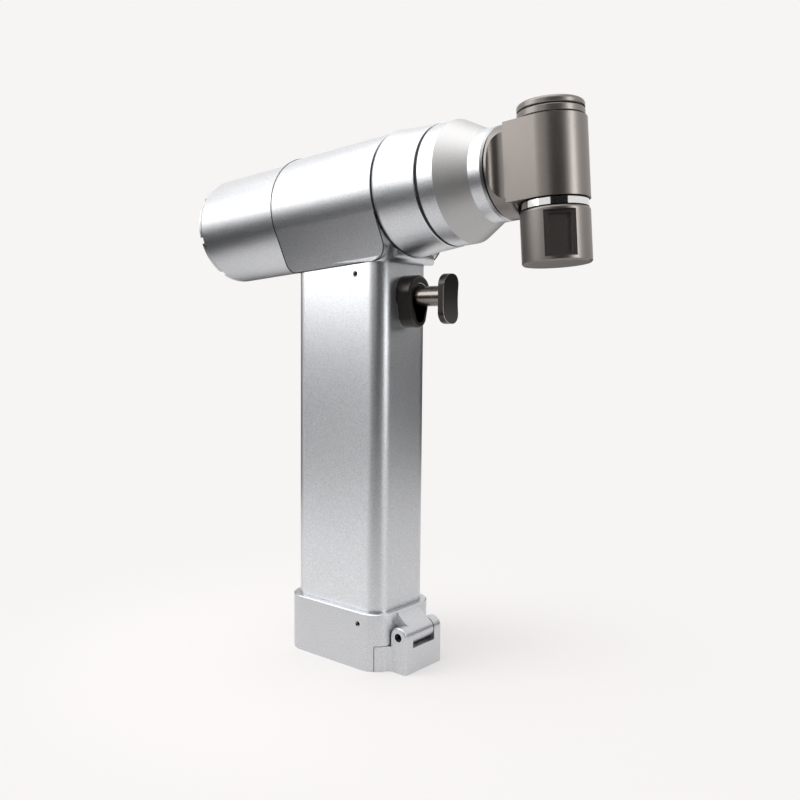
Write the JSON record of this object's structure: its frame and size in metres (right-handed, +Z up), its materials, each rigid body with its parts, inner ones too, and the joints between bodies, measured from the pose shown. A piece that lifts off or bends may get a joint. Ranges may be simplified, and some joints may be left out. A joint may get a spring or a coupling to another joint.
{
  "type": "surgical oscillating saw",
  "caption": "Pistol-grip battery surgical oscillating saw: tilted motor barrel, right-angle head with spring blade clamp, push trigger and hinged battery lid.",
  "frame": {"origin": "on the floor below the middle of the grip, in the plane of the collar's underside", "axes": "+X forward to the saw head, +Y to the tool's left, +Z up along the grip"},
  "size_m": [0.1602, 0.0432, 0.1881],
  "materials": {
    "blasted_aluminium": "bead-blasted and clear anodised",
    "titanium_grey": "fine blasted grey",
    "polished_steel": "polished",
    "dark_coating": "satin dark grey coating",
    "black_seal": "matt",
    "battery_wrap": "satin shrink wrap",
    "black_plastic": "moulded satin",
    "circuit_board": "solder mask",
    "contact_brass": "turned",
    "machined_steel": "ground",
    "motor_iron": "laminated"
  },
  "bodies": {
    "frame": {"base_collar": "blasted_aluminium", "battery_pack": "battery_wrap", "bezel_screw": "machined_steel", "collar_screw_left": "machined_steel", "collar_screw_right": "machined_steel", "contact_carrier": "black_plastic", "contact_front": "contact_brass", "contact_rear": "contact_brass", "control_board": "circuit_board", "drive_bearing_front": "machined_steel", "drive_bearing_rear": "machined_steel", "front_ring": "blasted_aluminium", "grip_screw_left": "machined_steel", "grip_screw_right": "machined_steel", "grip_tube": "blasted_aluminium", "head_body": "titanium_grey", "head_cap": "titanium_grey", "head_cap_ring": "titanium_grey", "head_seal_lower": "black_seal", "head_seal_upper": "black_seal", "main_housing": "blasted_aluminium", "motor_bearing_front": "machined_steel", "motor_bearing_rear": "machined_steel", "motor_bell": "machined_steel", "motor_can": "machined_steel", "nose_cone": "blasted_aluminium", "nose_seal": "black_seal", "output_bearing_lower": "machined_steel", "output_bearing_upper": "machined_steel", "rear_cap": "blasted_aluminium", "rear_sleeve": "blasted_aluminium", "stator": "motor_iron", "trigger_bezel": "dark_coating", "trigger_guide": "black_plastic", "trigger_seal": "black_seal"},
    "rotor": {"rotor_core": "motor_iron", "motor_shaft": "machined_steel", "coupling": "machined_steel", "drive_shaft": "machined_steel", "crank_roller": "machined_steel"},
    "output": {"output_shaft": "polished_steel", "blade_seat": "polished_steel", "spindle_nut": "polished_steel"},
    "clamp": {"clamp_knob": "titanium_grey", "knob_plate": "titanium_grey", "clamp_spring": "machined_steel"},
    "trigger": {"trigger_shaft": "polished_steel", "trigger_pad": "dark_coating", "trigger_magnet": "machined_steel", "trigger_spring": "machined_steel"},
    "lid": {"battery_lid": "blasted_aluminium", "hinge_pin": "polished_steel", "lid_pad": "black_seal"}
  },
  "joints": [
    {"name": "motor_spin", "type": "hinge", "parent": "frame", "child": "rotor", "pos_m": [0, 0, 0.1635], "axis": [0.9971, 0, 0.0767], "continuous": true},
    {"name": "blade_oscillation", "type": "hinge", "parent": "frame", "child": "output", "pos_m": [0.07797, 0, 0.1695], "axis": [-0.0767, 0, 0.9971], "range_deg": [-2.5, 2.5]},
    {"name": "clamp_release", "type": "slide", "parent": "output", "child": "clamp", "axis": [0.0767, 0, -0.9971], "range_m": [0, 0.003], "stiffness_N_per_m": 4000, "springref_m": -0.002, "deforming": ["clamp_spring"]},
    {"name": "trigger_pull", "type": "slide", "parent": "frame", "child": "trigger", "axis": [-1, 0, 0], "range_m": [0, 0.006], "stiffness_N_per_m": 400, "springref_m": -0.002, "deforming": ["trigger_spring"]},
    {"name": "lid_hinge", "type": "hinge", "parent": "frame", "child": "lid", "pos_m": [0.0271, 0, 0.0127], "axis": [0, -1, 0], "range_deg": [0, 100]}
  ]
}
